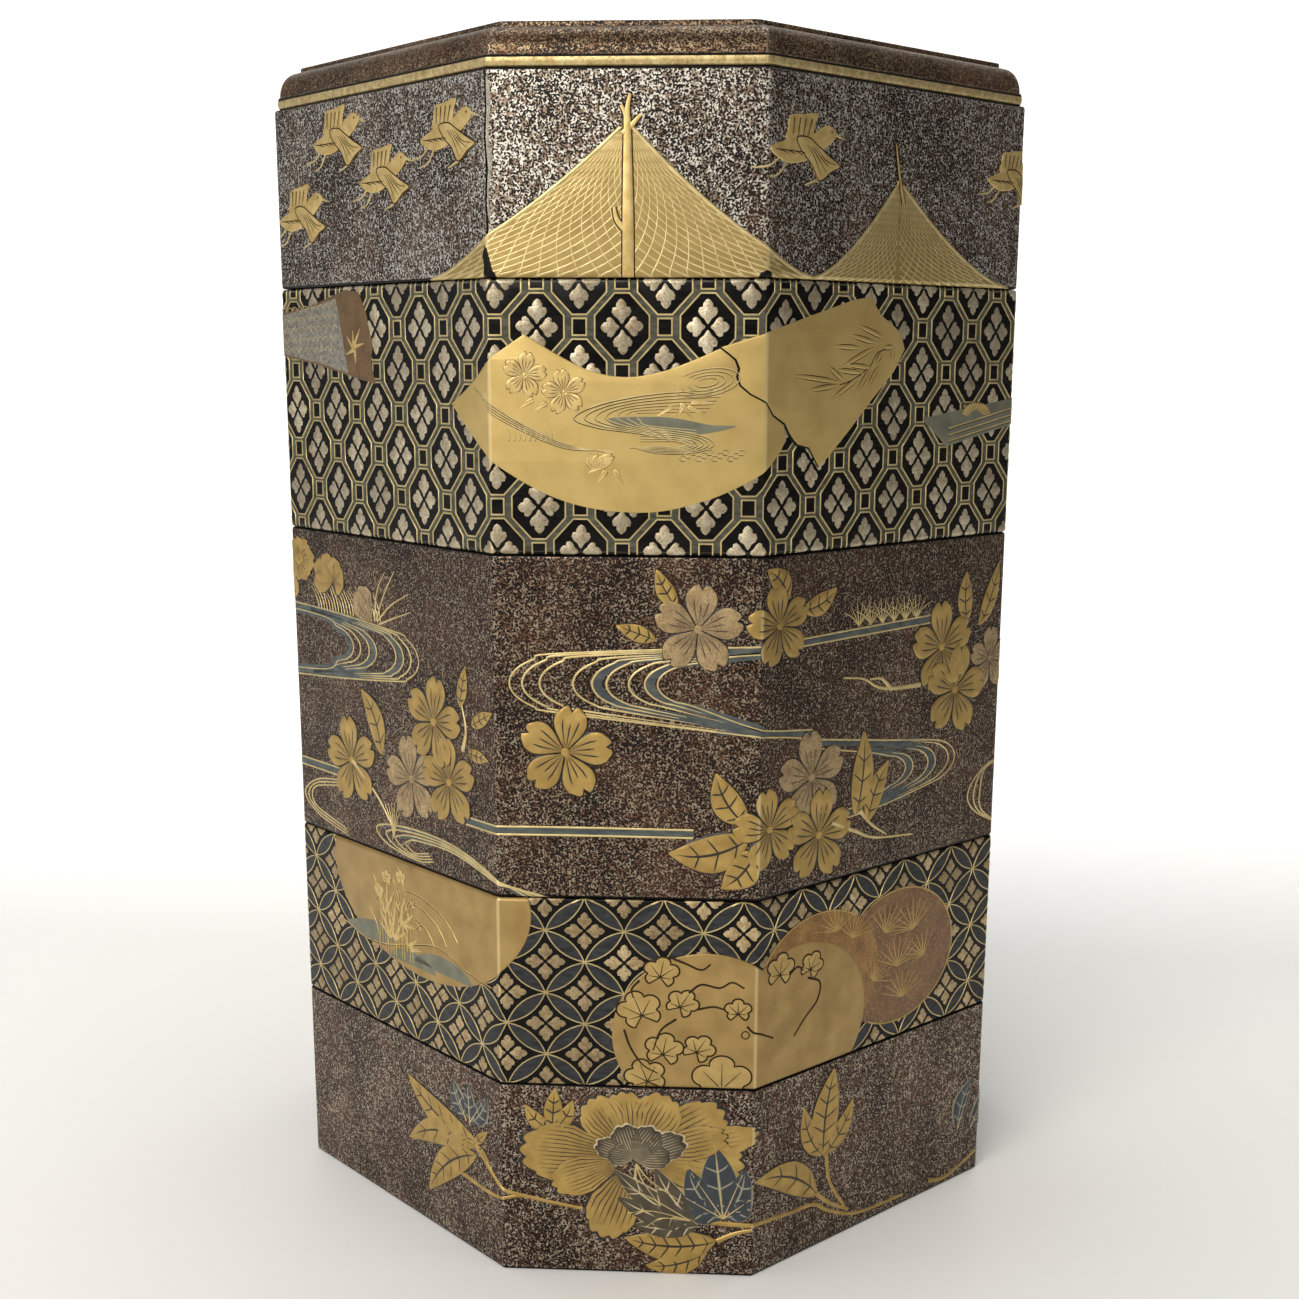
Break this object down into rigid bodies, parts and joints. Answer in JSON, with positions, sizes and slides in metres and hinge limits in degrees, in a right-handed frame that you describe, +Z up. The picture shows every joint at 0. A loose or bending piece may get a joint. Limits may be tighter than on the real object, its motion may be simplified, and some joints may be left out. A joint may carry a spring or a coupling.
{
  "type": "stacked food box",
  "caption": "Octagonal lacquered food boxes stacked under one moulded lid, decorated in raised gold with nets, lattice, stream, roundels and peony.",
  "frame": {"origin": "centre of the octagonal base, on the surface the stack stands on", "axes": "+Z up the stack's axis; -Y out of the front, a narrow side; +X to the right seen from the front"},
  "size_m": [0.2552, 0.2552, 0.3975],
  "materials": {
    "sprinkled_lacquer": "gloss",
    "patterned_lacquer": "gloss"
  },
  "bodies": {
    "root": {"lid": "sprinkled_lacquer", "net_box": "sprinkled_lacquer", "lattice_box": "patterned_lacquer", "stream_box": "sprinkled_lacquer", "roundel_box": "patterned_lacquer", "peony_box": "sprinkled_lacquer"}
  },
  "joints": []
}
